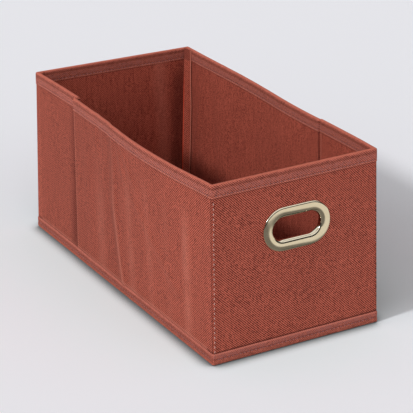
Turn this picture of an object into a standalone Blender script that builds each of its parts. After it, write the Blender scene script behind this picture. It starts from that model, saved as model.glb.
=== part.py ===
"""Folding fabric basket: six stiffened wall panels, a cloth bottom and a loose base insert.

Metres, +Z up. The origin is the middle of the underside. X is the basket's width and Y its
length: the front end wall, with the metal grommet, is at -Y, and the left long wall is at -X.
Each wall is cloth, board and lining in a sandwich, held by a binding along the rim and a hem
along the foot. The four corners are hinges, and the walls fold flat as a parallelogram.
"""

import math

import bmesh
import bpy
from mathutils import Vector

# Overall size
LENGTH = 0.310
WIDTH = 0.150
HEIGHT = 0.150

# Wall sandwich, from the outside in: cover, board, lining
CLOTH = 0.0004
BOARD = 0.0012
CLEARANCE = 0.0003
WALL = 2 * CLOTH + BOARD + 2 * CLEARANCE
BOARD_MARGIN = 0.0015

# Rim binding and foot hem
BINDING_HEIGHT = 0.011
BINDING_TOP = 0.0008
HEM_TOP = 0.0095

# Bottom cloth and the loose insert that lies on it
SHEET = 0.0006
SHEET_CORNER = 0.004
INSERT_BOARD = 0.0020
INSERT_SIDE_CLEARANCE = 0.0020
INSERT_CORNER = 0.008
BOARD_LIFT = 0.0009

# Folding: the long walls stop this far apart, and each long wall has one crease
FOLD_GAP = 0.006
CREASE_FROM_CORNER = (LENGTH - WIDTH) / 2

# Oblong grommet in the front wall
GROMMET_DROP = 0.049
OPENING_LENGTH = 0.044
OPENING_HEIGHT = 0.020
FLANGE_WIDTH = 0.0083
FLANGE_THICKNESS = 0.0016
FLANGE_CHAMFER = 0.0009
BARREL_WALL = 0.0015
WASHER_WIDTH = 0.0065
WASHER_THICKNESS = 0.0010
ARC_STEPS = 12
CORNER_STEPS = 6

# Places worked out from the sizes
LEFT = -WIDTH / 2
RIGHT = WIDTH / 2
FRONT = -LENGTH / 2
REAR = LENGTH / 2
LEFT_CREASE = REAR - CREASE_FROM_CORNER
RIGHT_CREASE = FRONT + CREASE_FROM_CORNER
INSERT_BOTTOM = SHEET + CLEARANCE
INSERT_BOARD_BOTTOM = INSERT_BOTTOM + CLOTH + CLEARANCE
INSERT_BOARD_TOP = INSERT_BOARD_BOTTOM + INSERT_BOARD
INSERT_TOP = INSERT_BOARD_TOP + CLEARANCE + CLOTH
BOARD_BOTTOM = INSERT_TOP + BOARD_LIFT
BOARD_TOP = HEIGHT - BINDING_TOP - CLEARANCE
BINDING_BOTTOM = HEIGHT - BINDING_HEIGHT
GROMMET_Z = HEIGHT - GROMMET_DROP
HINGE_INSET = WALL + FOLD_GAP / 2

# The corner hinges, all upright. Two fold shut about an inside line, two open flat about the edge
FRONT_LEFT_AXIS = Vector((LEFT + HINGE_INSET, FRONT + HINGE_INSET, 0))
FRONT_RIGHT_AXIS = Vector((RIGHT, FRONT, 0))
REAR_LEFT_AXIS = Vector((LEFT, REAR, 0))
REAR_RIGHT_AXIS = Vector((RIGHT - HINGE_INSET, REAR - HINGE_INSET, 0))

FINISHES = {
    "cover_cloth": ((0.290, 0.088, 0.062, 1), 0.92, 0.0),
    "lining_cloth": ((0.235, 0.058, 0.038, 1), 0.94, 0.0),
    "trim_cloth": ((0.270, 0.072, 0.052, 1), 0.90, 0.0),
    "grey_board": ((0.36, 0.33, 0.29, 1), 0.85, 0.0),
    "grommet_metal": ((0.78, 0.72, 0.63, 1), 0.22, 1.0),
}


class Wall:
    """One straight wall: where it starts and ends, its outer face, and which way is inwards."""

    def __init__(self, along, start, end, outer, inward):
        self.along = along
        self.start = start
        self.end = end
        self.outer = outer
        self.inward = inward

    def point(self, run, depth, height):
        """The place a given way along the wall, into it from its outer face, and up it."""
        across = self.outer + self.inward * depth
        if self.along == "x":
            return Vector((run, across, height))
        return Vector((across, run, height))


FRONT_WALL = Wall("x", LEFT, RIGHT, FRONT, 1)
REAR_WALL = Wall("x", LEFT, RIGHT, REAR, -1)
SIDE_START = FRONT + WALL + CLEARANCE
SIDE_END = REAR - WALL - CLEARANCE
LEFT_WALL = Wall("y", SIDE_START, SIDE_END, LEFT, 1)
RIGHT_SHORT_WALL = Wall("y", SIDE_START, RIGHT_CREASE - CLEARANCE / 2, RIGHT, -1)
RIGHT_LONG_WALL = Wall("y", RIGHT_CREASE + CLEARANCE / 2, SIDE_END, RIGHT, -1)


def clear_scene():
    for old in list(bpy.data.objects):
        bpy.data.objects.remove(old, do_unlink=True)


def make_material(name):
    colour, roughness, metallic = FINISHES[name]
    material = bpy.data.materials.new(name)
    material.use_nodes = True
    shader = material.node_tree.nodes["Principled BSDF"]
    shader.inputs["Base Color"].default_value = colour
    shader.inputs["Roughness"].default_value = roughness
    shader.inputs["Metallic"].default_value = metallic
    material.diffuse_color = colour
    return material


def make_axis(name, place, parent=None):
    """An empty on a joint's axis, which carries the pieces of one moving body."""
    axis = bpy.data.objects.new(name, None)
    axis.empty_display_size = HEIGHT / 4
    bpy.context.collection.objects.link(axis)
    axis.parent = parent
    axis.location = place - (world_place(parent) if parent else Vector())
    return axis


def world_place(thing):
    """Where an unturned object stands, counted through its parents."""
    place = thing.location.copy()
    while thing.parent:
        thing = thing.parent
        place += thing.location
    return place


def add_piece(name, shape, finish, body=None, smooth_angle=None):
    """Turn a bmesh in world coordinates into a named object on its body's axis."""
    home = world_place(body) if body else Vector()
    bmesh.ops.translate(shape, verts=shape.verts, vec=-home)
    bmesh.ops.recalc_face_normals(shape, faces=shape.faces)
    mesh = bpy.data.meshes.new(name)
    shape.to_mesh(mesh)
    shape.free()
    if smooth_angle:
        mesh.shade_smooth()
        mesh.set_sharp_from_angle(angle=smooth_angle)
    piece = bpy.data.objects.new(name, mesh)
    bpy.context.collection.objects.link(piece)
    piece.parent = body
    mesh.materials.append(make_material(finish))
    piece.data.materials[0].name = name + "_" + finish
    return piece


def extruded(outline, direction):
    """A closed solid: a flat outline pushed along a direction."""
    shape = bmesh.new()
    face = shape.faces.new([shape.verts.new(point) for point in outline])
    pushed = bmesh.ops.extrude_face_region(shape, geom=[face])["geom"]
    moved = [item for item in pushed if isinstance(item, bmesh.types.BMVert)]
    bmesh.ops.translate(shape, verts=moved, vec=direction)
    return shape


def lofted(rings, closed=False):
    """A solid skin over rings of points, capped at both ends or closed into a loop."""
    shape = bmesh.new()
    loops = [[shape.verts.new(point) for point in ring] for ring in rings]
    followers = loops[1:] + loops[:1] if closed else loops[1:]
    for loop, follower in zip(loops, followers):
        for index in range(len(loop)):
            shape.faces.new((loop[index - 1], loop[index], follower[index], follower[index - 1]))
    if not closed:
        shape.faces.new(loops[0])
        shape.faces.new(loops[-1])
    return shape


def wall_slab(wall, depth, thickness, bottom, top, margin=0.0):
    """A flat layer of a wall, from one depth inwards, between two heights."""
    start = wall.start + margin
    sections = [(depth, bottom), (depth + thickness, bottom), (depth + thickness, top), (depth, top)]
    outline = [wall.point(start, *section) for section in sections]
    return extruded(outline, wall.point(wall.end - margin, *sections[0]) - outline[0])


def wall_channel(wall, closed_end, open_end, web):
    """A folded strip along a wall's edge: a web at its closed end and two thin sides."""
    inside = closed_end + math.copysign(web, open_end - closed_end)
    sections = [
        (0, closed_end),
        (WALL, closed_end),
        (WALL, open_end),
        (WALL - CLOTH, open_end),
        (WALL - CLOTH, inside),
        (CLOTH, inside),
        (CLOTH, open_end),
        (0, open_end),
    ]
    outline = [wall.point(wall.start, depth, height) for depth, height in sections]
    run = wall.point(wall.end, 0, closed_end) - wall.point(wall.start, 0, closed_end)
    return extruded(outline, run)


def add_wall_cloths(name, wall, body):
    """The two cloth faces of a wall, its rim binding and its foot hem."""
    bottom = HEM_TOP + CLEARANCE
    top = BINDING_BOTTOM - CLEARANCE
    cover = add_piece(name + "_cover", wall_slab(wall, 0, CLOTH, bottom, top), "cover_cloth", body)
    inner = wall_slab(wall, WALL - CLOTH, CLOTH, bottom, top)
    lining = add_piece(name + "_lining", inner, "lining_cloth", body)
    binding = wall_channel(wall, HEIGHT, BINDING_BOTTOM, BINDING_TOP)
    add_piece(name + "_top_binding", binding, "trim_cloth", body)
    add_piece(name + "_hem", wall_channel(wall, CLEARANCE, HEM_TOP, CLOTH), "trim_cloth", body)
    return cover, lining


def add_board(name, wall, body, margin=BOARD_MARGIN):
    """The stiff board inside a wall, from just above the insert to just under the rim."""
    layer = wall_slab(wall, CLOTH + CLEARANCE, BOARD, BOARD_BOTTOM, BOARD_TOP, margin)
    return add_piece(name, layer, "grey_board", body)


def oblong(half_length, half_height, y):
    """A stadium outline round the grommet's centre, in an upright plane at y."""
    straight = half_length - half_height
    points = []
    for side, turn in ((1, -math.pi / 2), (-1, math.pi / 2)):
        for step in range(ARC_STEPS + 1):
            angle = turn + math.pi * step / ARC_STEPS
            x = side * straight + half_height * math.cos(angle)
            points.append(Vector((x, y, GROMMET_Z + half_height * math.sin(angle))))
    return points


def oblong_ring(profile):
    """A ring round the grommet's opening from (offset outwards, y) pairs."""
    half_length = OPENING_LENGTH / 2
    half_height = OPENING_HEIGHT / 2
    rings = [oblong(half_length + out, half_height + out, y) for out, y in profile]
    return lofted(rings, closed=True)


def cut_handle_hole(pieces, body):
    """Cut the oblong hole for the grommet's barrel through the front wall's layers."""
    grow = BARREL_WALL + CLEARANCE
    outline = oblong(OPENING_LENGTH / 2 + grow, OPENING_HEIGHT / 2 + grow, FRONT - WALL)
    cutter = add_piece("handle_hole_cutter", extruded(outline, Vector((0, 3 * WALL, 0))), "grey_board", body)
    cutter.hide_render = True
    cutter.display_type = "WIRE"
    for piece in pieces:
        cut = piece.modifiers.new("handle_hole", "BOOLEAN")
        cut.operation = "DIFFERENCE"
        cut.object = cutter


def add_grommet(body):
    """A bevelled metal flange with a barrel through the wall, and the washer behind it."""
    back = FRONT - CLEARANCE
    face = back - FLANGE_THICKNESS
    barrel_end = FRONT + WALL + CLEARANCE + WASHER_THICKNESS
    rolled = FLANGE_CHAMFER / 2
    flange = [
        (0, barrel_end),
        (0, face + rolled),
        (rolled, face),
        (FLANGE_WIDTH - FLANGE_CHAMFER, face),
        (FLANGE_WIDTH, face + FLANGE_CHAMFER),
        (FLANGE_WIDTH, back),
        (BARREL_WALL, back),
        (BARREL_WALL, barrel_end),
    ]
    add_piece("grommet_face", oblong_ring(flange), "grommet_metal", body, math.radians(30))
    inner = BARREL_WALL + CLEARANCE
    outer = BARREL_WALL + WASHER_WIDTH
    near = FRONT + WALL + CLEARANCE
    washer = [(inner, near), (outer, near), (outer, barrel_end - rolled),
              (outer - rolled, barrel_end), (inner, barrel_end)]
    add_piece("grommet_back_washer", oblong_ring(washer), "grommet_metal", body, math.radians(30))


def rounded_rectangle(half_width, half_length, radius, height):
    """A rectangle round the origin with rounded corners, at one height."""
    points = []
    for corner, (side_x, side_y) in enumerate(((1, 1), (-1, 1), (-1, -1), (1, -1))):
        centre_x = side_x * (half_width - radius)
        centre_y = side_y * (half_length - radius)
        for step in range(CORNER_STEPS + 1):
            angle = math.pi / 2 * (corner + step / CORNER_STEPS)
            x = centre_x + radius * math.cos(angle)
            points.append(Vector((x, centre_y + radius * math.sin(angle), height)))
    return points


def add_bottom_sheet():
    """The cloth bottom that is sewn between the hems."""
    inset = WALL + CLEARANCE
    outline = rounded_rectangle(WIDTH / 2 - inset, LENGTH / 2 - inset, SHEET_CORNER, 0)
    add_piece("bottom_sheet", extruded(outline, Vector((0, 0, SHEET))), "trim_cloth")


def add_insert(body):
    """The loose base insert: a board between a flat bottom cloth and a top cloth with sides."""
    half_width = WIDTH / 2 - WALL - INSERT_SIDE_CLEARANCE
    half_length = LENGTH / 2 - WALL - INSERT_SIDE_CLEARANCE
    cloth_ring = CLOTH + CLEARANCE

    def ring(inset, height):
        return rounded_rectangle(half_width - inset, half_length - inset, INSERT_CORNER - inset, height)

    under = extruded(ring(0, INSERT_BOTTOM), Vector((0, 0, CLOTH)))
    add_piece("insert_bottom_cover", under, "lining_cloth", body)
    board = extruded(ring(cloth_ring, INSERT_BOARD_BOTTOM), Vector((0, 0, INSERT_BOARD)))
    add_piece("insert_board", board, "grey_board", body)
    tray = lofted([
        ring(CLOTH, INSERT_BOARD_TOP + CLEARANCE),
        ring(CLOTH, INSERT_BOARD_BOTTOM),
        ring(0, INSERT_BOARD_BOTTOM),
        ring(0, INSERT_TOP),
    ])
    add_piece("insert_top_cover", tray, "lining_cloth", body)


def build_basket():
    clear_scene()
    front = make_axis("front_wall_axis", FRONT_LEFT_AXIS)
    right_short = make_axis("right_short_wall_axis", FRONT_RIGHT_AXIS, front)
    rear = make_axis("rear_wall_axis", REAR_LEFT_AXIS)
    right_long = make_axis("right_long_wall_axis", REAR_RIGHT_AXIS, rear)
    insert = make_axis("base_insert_axis", Vector((0, 0, INSERT_BOTTOM)))

    add_wall_cloths("left", LEFT_WALL, None)
    long_part = Wall("y", SIDE_START, LEFT_CREASE, LEFT, 1)
    short_part = Wall("y", LEFT_CREASE, SIDE_END, LEFT, 1)
    add_board("left_long_board", long_part, None)
    add_board("left_short_board", short_part, None)

    cover, lining = add_wall_cloths("front", FRONT_WALL, front)
    board = add_board("front_board", FRONT_WALL, front)
    cut_handle_hole([cover, lining, board], front)
    add_grommet(front)

    add_wall_cloths("rear", REAR_WALL, rear)
    add_board("rear_board", REAR_WALL, rear)
    add_wall_cloths("right_short", RIGHT_SHORT_WALL, right_short)
    add_board("right_short_board", RIGHT_SHORT_WALL, right_short)
    add_wall_cloths("right_long", RIGHT_LONG_WALL, right_long)
    add_board("right_long_board", RIGHT_LONG_WALL, right_long)

    add_bottom_sheet()
    add_insert(insert)


build_basket()
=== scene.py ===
"""The looks of a terracotta folding fabric basket: cloth walls, bindings, stitches and grommet."""

import math

import bmesh
import bpy
from mathutils import Matrix, Vector, noise
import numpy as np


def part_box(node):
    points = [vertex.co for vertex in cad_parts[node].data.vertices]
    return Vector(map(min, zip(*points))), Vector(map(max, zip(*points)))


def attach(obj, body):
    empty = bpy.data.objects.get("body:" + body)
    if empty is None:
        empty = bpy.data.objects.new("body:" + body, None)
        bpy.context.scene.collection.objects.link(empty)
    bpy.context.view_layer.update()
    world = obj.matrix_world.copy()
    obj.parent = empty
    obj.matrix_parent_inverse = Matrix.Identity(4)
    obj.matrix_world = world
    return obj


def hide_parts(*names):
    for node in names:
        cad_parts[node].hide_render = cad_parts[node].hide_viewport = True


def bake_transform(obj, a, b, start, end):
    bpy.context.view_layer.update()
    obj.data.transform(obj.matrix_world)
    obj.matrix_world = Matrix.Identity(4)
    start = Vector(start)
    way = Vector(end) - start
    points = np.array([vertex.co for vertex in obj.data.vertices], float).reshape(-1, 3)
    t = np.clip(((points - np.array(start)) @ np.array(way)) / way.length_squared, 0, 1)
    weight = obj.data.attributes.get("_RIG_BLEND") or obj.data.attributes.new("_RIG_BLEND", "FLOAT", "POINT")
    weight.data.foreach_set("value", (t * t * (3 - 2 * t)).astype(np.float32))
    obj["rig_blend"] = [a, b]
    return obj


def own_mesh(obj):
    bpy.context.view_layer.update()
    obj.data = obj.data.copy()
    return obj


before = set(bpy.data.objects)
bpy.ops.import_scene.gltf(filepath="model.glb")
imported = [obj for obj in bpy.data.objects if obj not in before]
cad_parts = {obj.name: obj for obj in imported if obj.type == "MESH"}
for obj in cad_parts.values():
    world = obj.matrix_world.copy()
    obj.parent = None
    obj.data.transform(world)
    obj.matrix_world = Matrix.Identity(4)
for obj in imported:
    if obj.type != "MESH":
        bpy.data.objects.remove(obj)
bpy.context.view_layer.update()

MM = 0.001

# The basket's own sizes, read from the frame
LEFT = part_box("left_hem")[0][0]
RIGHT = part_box("right_long_hem")[1][0]
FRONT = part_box("front_hem")[0][1]
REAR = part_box("rear_hem")[1][1]
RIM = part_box("front_top_binding")[1][2]
BAND_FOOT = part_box("front_top_binding")[0][2]
HEM_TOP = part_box("front_hem")[1][2]
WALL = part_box("left_top_binding")[1][0] - LEFT
LENGTH = REAR - FRONT
LEFT_CREASE = (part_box("left_long_board")[1][1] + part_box("left_short_board")[0][1]) / 2
RIGHT_CREASE = (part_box("right_short_cover")[1][1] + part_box("right_long_cover")[0][1]) / 2
BOARD_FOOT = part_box("front_board")[0][2]
BOARD_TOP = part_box("front_board")[1][2]
BOARD = 1.1 * MM
GROMMET_Z = sum(corner[2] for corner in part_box("grommet_face")) / 2
FINGER_HOLE = (44 * MM, 20 * MM)
FLANGE = (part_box("grommet_face")[1][0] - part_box("grommet_face")[0][0] - FINGER_HOLE[0]) / 2

# Cloth and how it lies on the boards
CLOTH = 0.45 * MM
COVER_DEPTH = 0.15 * MM
HAIR = 0.03 * MM
BAND_PROUD = 0.35 * MM
HEM_PROUD = 0.3 * MM
UNDER_BAND = 1.5 * MM
CORNER_REACH = 9 * MM
CORNER_TURN = 1.2 * MM
SMALLEST_TURN = 0.15 * MM
INNER_CHAMFER = 3 * MM
STRIP_ON_SIDE = 8.5 * MM
STRIP_ON_END = 2.6 * MM
COLUMN_STEP = 2 * MM
ROW_STEP = 4 * MM
SHARP_ANGLE = 50

# How the standing basket leans and settles
SIDE_FLARE = 1.75 * MM
END_FLARE = 2.4 * MM
SIDE_SPREAD = 0.75 * MM
END_LEAN = 2.6 * MM
RIGHT_SIDE_LEAN = 3.0 * MM
RIM_SETTLE = 2.1 * MM

# Stitches
STITCH_LENGTH = 2.5 * MM
STITCH_WIDTH = 0.7 * MM
STITCH_PITCH = 3.4 * MM
BAND_STITCH_DROP = 9.3 * MM
BAND_STITCH_DEPTHS = (-0.5 * BAND_PROUD, WALL + 0.5 * BAND_PROUD)
HEM_STITCH_HEIGHT = 4.7 * MM
HEM_STITCH_DEPTH = -0.6 * HEM_PROUD

# The upright seams of the front wall: stitch sizes, and (in from the corner, sunk below the cloth's face)
SEAM_STITCH_LENGTH = 2.1 * MM
SEAM_STITCH_WIDTH = 0.9 * MM
SEAM_PITCH = 4.1 * MM
PALE_SEAM = (1.7 * MM, -0.1 * MM)
DARK_SEAM = (1.3 * MM, -0.05 * MM)

# How far the hole is cut back from its edge, the boards' half gap at a crease, and other small measures
CLOTH_HOLE_OUTSET = 2.2 * MM
BOARD_HOLE_OUTSET = 2.4 * MM
BOARD_HALF_GAP = 2 * MM
INSERT_CORNER = 8 * MM
STRIP_BULGE = 0.5 * MM

# Light: the world away from its bright way and towards it, the key lamp with its spread, and the floor
WORLD_LIGHT = 0.36
FRONT_LIGHT = 1.55
BRIGHT_WAY = (-0.42, -0.82, -0.2)
KEY_LIGHT = 1.58
KEY_FROM = (-0.70, -0.04, 0.50)
KEY_SPREAD = 6
FLOOR_SIZE = 6
FLOOR_DROP = 0.2 * MM

# Camera, fitted to the photographed corners
CAMERA_PLACE = (-0.7105, -1.2429, 0.6614)
CAMERA_AIM = (0.0027, -0.0099, 0.0629)
CAMERA_LENS = 160.38
CAMERA_SENSOR = 36

# How far each long wall bows outwards at its rim: (share of the way to the rear, millimetres)
LEFT_BOW = (
    (0.00, 0.0), (0.05, 1.5), (0.10, 3.4), (0.15, 5.2), (0.20, 6.4), (0.26, 7.3), (0.32, 7.8),
    (0.38, 7.7), (0.44, 6.9), (0.485, 5.6), (0.505, 4.9), (0.54, 4.3), (0.61, 3.7), (0.742, 2.4),
)
LEFT_SHORT_BOW = ((0.742, -1.5), (0.80, -1.5), (0.86, -1.3), (0.93, -0.7), (1.0, 0.0))
RIGHT_BOW = (
    (0.0, 0.0), (0.08, 0.5), (0.16, 0.3), (0.2565, -0.2), (0.2575, -1.4), (0.30, -1.9), (0.36, -2.1),
    (0.42, -1.9), (0.47, -1.3), (0.53, -0.4), (0.60, 0.4), (0.68, 0.8), (0.78, 0.5), (0.88, 0.0), (1.0, 0.0),
)

# Soft folds in millimetres: (run at the top, run at the foot, top height, foot height, rise, half width)
LEFT_FOLDS = (
    (0, 1.2, 150, 74, 0.7, 9), (0.6, -9, 82, 8, 0.7, 9), (-18, -40, 138, 110, 0.8, 6),
    (-10, -22, 136, 108, 0.7, 5), (-42, -98, 92, 45, 0.9, 11), (-121, -118, 100, 70, 0.8, 8),
    (30, 24, 150, 120, -0.5, 7), (52, 46, 110, 20, 0.3, 12),
)
RIGHT_FOLDS = (
    (128, 120, 115, 30, -1.0, 12), (108, 98, 120, 30, 0.9, 10), (86, 84, 110, 20, -0.6, 12),
    (30, 36, 110, 20, 0.5, 18), (-20, -14, 120, 40, -0.5, 16), (122, 140, 110, 30, -1.4, 5),
    (143, 146, 100, 20, 1.1, 6),
)

# Paler upright patches of the left cover: (run in mm, reach in mm, share of the pale colour)
LEFT_PALE_PATCHES = ((-118, 10, 0.18), (-88, 7, 0.06), (-58, 8, 0.14), (-26, 9, 0.13), (28, 14, 0.1))

# The tuck behind the left wall's crease, and how close its columns and the right crease's stand
CREASE_TUCK = 0.9 * MM
CREASE_TUCK_REACH = 9 * MM
LEFT_CREASE_STEP = 0.15 * MM
LEFT_CREASE_STEPS = (1, 3, 6, 10, 15)
RIGHT_CREASE_STEPS = (0.25 * MM, 0.5 * MM, 1 * MM)

# The cloth's unevenness: its lumps' width and height, and where it starts above the foot, below the rim
# and away from the corners
BROAD_LUMPS = (45 * MM, 110 * MM)
SMALL_LUMPS = (9 * MM, 30 * MM)
EVEN_AT_FOOT = 12 * MM
EVEN_AT_RIM = 20 * MM
EVEN_AT_CORNER = 20 * MM


def smooth(low, high, value):
    """Nought at low, one at high, with an easy start and end."""
    share = min(1.0, max(0.0, (value - low) / (high - low)))
    return share * share * (3 - 2 * share)


def swell(value, centre, half_width):
    """One at the centre, falling softly to nothing at half_width."""
    share = min(1.0, abs(value - centre) / half_width)
    return (1 - share * share) ** 2


def read_bow(rows, share):
    """The bow in metres at a share of the wall, between the rows."""
    for (low, first), (high, last) in zip(rows, rows[1:]):
        if share <= high:
            return (first + (last - first) * max(0.0, share - low) / (high - low)) * MM
    return rows[-1][1] * MM


def soft_folds(folds, run, height):
    """How far the soft folds lift the cloth outwards at a place."""
    total = 0.0
    for top_run, foot_run, top, foot, rise, half_width in folds:
        share = (height / MM - foot) / (top - foot)
        centre = foot_run + (top_run - foot_run) * min(1.2, max(-0.2, share))
        fade = smooth(-0.35, 0.1, share) * smooth(1.35, 0.9, share)
        total += rise * MM * fade * swell(run / MM, centre, half_width)
    return total * smooth(0, HEM_TOP, height)


def left_bow(run, height):
    """How far the left wall stands out at a place; behind its crease it is tucked in."""
    share = (run - FRONT) / LENGTH
    rise = height / RIM
    if run > LEFT_CREASE:
        tuck = CREASE_TUCK * swell(run, LEFT_CREASE, CREASE_TUCK_REACH)
        tuck = tuck * smooth(0, 0.3, rise) * smooth(1.0, 0.8, rise)
        return read_bow(LEFT_SHORT_BOW, share) * rise ** 0.6 - tuck
    return read_bow(LEFT_BOW, share) * rise ** 1.2 + soft_folds(LEFT_FOLDS, run, height)


def right_bow(run, height):
    share = (run - FRONT) / LENGTH
    return read_bow(RIGHT_BOW, share) * height / RIM + soft_folds(RIGHT_FOLDS, run, height)


def no_bow(run, height):
    return 0.0


def cloth_relief(run, height, seed):
    """The slight unevenness of stretched cloth, in metres outwards."""
    broad = noise.noise(Vector((run / BROAD_LUMPS[0], height / BROAD_LUMPS[1], seed))) * 0.3
    small = noise.noise(Vector((run / SMALL_LUMPS[0], height / SMALL_LUMPS[1], seed + 7))) * 0.06
    return (broad + small) * MM * smooth(0, EVEN_AT_FOOT, height) * smooth(RIM, RIM - EVEN_AT_RIM, height)


def settle(place):
    """Flare the foot, lean the ends in at the rim and let the rim down a little."""
    x, y, z = place
    rise = z / RIM
    across = x / RIGHT
    lengthways = y / REAR
    end_lean = END_LEAN + RIGHT_SIDE_LEAN * (0.5 + 0.5 * across)
    x += across * (SIDE_FLARE * (1 - rise) + SIDE_SPREAD * rise)
    y += lengthways * (END_FLARE * (1 - rise) - end_lean * rise)
    return Vector((x, y, z - RIM_SETTLE * rise))


class Wall:
    """A straight wall: its way, its two ends, its outer face, its body and its bow."""

    def __init__(self, name, body, along, start, end, outer, inward, bow, seed):
        self.name, self.body, self.along = name, body, along
        self.start, self.end = start, end
        self.outer, self.inward = outer, inward
        self.bow, self.seed = bow, seed

    def point(self, run, depth, height):
        """The place at a run along the wall, a depth in from its face and a height."""
        low, high = (LEFT, RIGHT) if self.along == "x" else (FRONT, REAR)
        hold = smooth(CORNER_REACH, EVEN_AT_CORNER, run - low)
        hold = hold * smooth(CORNER_REACH, EVEN_AT_CORNER, high - run)
        out = self.bow(run, height) + cloth_relief(run, height, self.seed) * hold
        across = self.outer + self.inward * (depth - out)
        return settle((run, across, height) if self.along == "x" else (across, run, height))

    def outward(self):
            return Vector((0, -self.inward, 0)) if self.along == "x" else Vector((-self.inward, 0, 0))

    def runs(self, margin=0.0):
        """Places along the wall, close together at the creases."""
        start, end = self.start + margin, self.end - margin
        count = max(2, round((end - start) / COLUMN_STEP))
        runs = [start + (end - start) * index / count for index in range(count + 1)]
        if self.name == "left":
            close = [LEFT_CREASE_STEP * step for step in LEFT_CREASE_STEPS]
            runs = [run for run in runs if abs(run - LEFT_CREASE) > close[-1] + LEFT_CREASE_STEP]
            runs += [LEFT_CREASE + side * offset for side in (-1, 1) for offset in close]
        if RIGHT_CREASE in (self.start, self.end):
            into = 1 if self.start == RIGHT_CREASE else -1
            runs += [RIGHT_CREASE + into * offset for offset in RIGHT_CREASE_STEPS]
        return sorted(runs)


def make_walls():
    left, right = LEFT + CORNER_REACH, RIGHT - CORNER_REACH
    front, rear = FRONT + CORNER_REACH, REAR - CORNER_REACH
    short, long = "right_wall_short_part", "right_wall_long_part"
    return (
        Wall("front", "front_wall", "x", left, right, FRONT, 1, no_bow, 1),
        Wall("rear", "rear_wall", "x", left, right, REAR, -1, no_bow, 2),
        Wall("left", "left_wall", "y", front, rear, LEFT, 1, left_bow, 3),
        Wall("right_short", short, "y", front, RIGHT_CREASE, RIGHT, -1, right_bow, 4),
        Wall("right_long", long, "y", RIGHT_CREASE, rear, RIGHT, -1, right_bow, 4),
    )


class Corner:
    """A corner of the basket: where it stands, which way is in and the two walls it joins."""

    def __init__(self, name, x, y, side_body, end_body):
        self.name, self.x, self.y = name, x, y
        self.in_x = 1 if x < 0 else -1
        self.in_y = 1 if y < 0 else -1
        self.bow = left_bow if x < 0 else right_bow
        self.bodies = (side_body, end_body)

    def place(self, station, depth, height, chamfer=0.0):
        """A point round the corner: station 0 is on the side wall, 1 on the end wall."""
        turn = max(CORNER_TURN - depth, SMALLEST_TURN)
        centre = depth + max(turn, chamfer)
        straight = CORNER_REACH - centre
        bend = chamfer * math.sqrt(2) if chamfer else math.pi / 2 * turn
        run = station * (2 * straight + bend)
        if run < straight:
            in_x, in_y = depth, CORNER_REACH - run
        elif run > straight + bend:
            in_x, in_y = centre + run - straight - bend, depth
        elif chamfer:
            share = (run - straight) / bend
            in_x, in_y = depth + chamfer * share, depth + chamfer * (1 - share)
        else:
            angle = (run - straight) / turn
            in_x, in_y = centre - turn * math.cos(angle), centre - turn * math.sin(angle)
        y = self.y + self.in_y * in_y
        out = self.bow(y, height)
        return settle((self.x + self.in_x * (in_x - out), y, height))

    def blend(self, piece):
        """Bend a piece between the two walls as they fold."""
        start = (self.x + self.in_x * WALL, self.y + self.in_y * CORNER_REACH, 0)
        end = (self.x + self.in_x * CORNER_REACH, self.y + self.in_y * WALL, 0)
        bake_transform(piece, *self.bodies, start=start, end=end)


def make_corners():
    """The four corners, counted round from the front left."""
    return (
        Corner("front_left", LEFT, FRONT, "left_wall", "front_wall"),
        Corner("front_right", RIGHT, FRONT, "right_wall_short_part", "front_wall"),
        Corner("rear_right", RIGHT, REAR, "right_wall_long_part", "rear_wall"),
        Corner("rear_left", LEFT, REAR, "left_wall", "rear_wall"),
    )


# Outlines across a wall: (depth in from the outer face, height)
def upright(depth, foot, top):
    count = round((top - foot) / ROW_STEP)
    return [(depth, foot + (top - foot) * index / count) for index in range(count + 1)]


def cover_outline():
    tucked = [(COVER_DEPTH + CLOTH, HEM_TOP - UNDER_BAND), (COVER_DEPTH + CLOTH, HEM_TOP)]
    return tucked + upright(COVER_DEPTH, HEM_TOP + 2 * CLOTH, BAND_FOOT + UNDER_BAND)


def lining_outline():
    return upright(WALL - COVER_DEPTH, HEM_TOP - 2 * UNDER_BAND, BAND_FOOT + UNDER_BAND)


def board_outline():
    return upright((WALL - BOARD) / 2, BOARD_FOOT, BOARD_TOP)


def band_outline():
    """Up the outer side, over the rim and down the inner side, drawn in a little at the stitches."""
    height = RIM - BAND_FOOT
    seam = 1 - BAND_STITCH_DROP / height
    side = [(COVER_DEPTH, 0), (-BAND_PROUD, 0.02), (-BAND_PROUD, seam - 0.1), (-BAND_PROUD * 0.4, seam),
            (-BAND_PROUD, seam + 0.1), (-BAND_PROUD, 0.55), (-BAND_PROUD, 0.75)]
    outer = [(depth, BAND_FOOT + share * height) for depth, share in side]
    radius = WALL / 2 + BAND_PROUD
    arc = []
    for index in range(9):
        angle = math.pi * index / 8
        arc.append((WALL / 2 - radius * math.cos(angle), RIM - radius + radius * math.sin(angle)))
    return outer + arc + [(WALL - depth, height) for depth, height in reversed(outer)]


def hem_outline():
    """Down the outer side to the floor, under the wall and up its inner side."""
    seam = HEM_STITCH_HEIGHT / HEM_TOP
    side = [(COVER_DEPTH, 1.03), (-HEM_PROUD, 0.97), (-HEM_PROUD, seam + 0.12), (-HEM_PROUD * 0.3, seam),
            (-HEM_PROUD, seam - 0.12), (-HEM_PROUD, 0.2), (0, 0.05), (3 * HEM_PROUD, 0)]
    outer = [(depth, share * HEM_TOP) for depth, share in side]
    return outer + [(WALL - depth, height) for depth, height in reversed(outer)]


def heights_of(outline):
    return [height for _, height in outline]


def lengths_of(outline):
    """The cloth map's rows of a folded band: the length travelled along its outline."""
    lengths = [0.0]
    for (first_depth, first), (last_depth, last) in zip(outline, outline[1:]):
        lengths.append(lengths[-1] + math.hypot(last_depth - first_depth, last - first))
    return lengths


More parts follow.
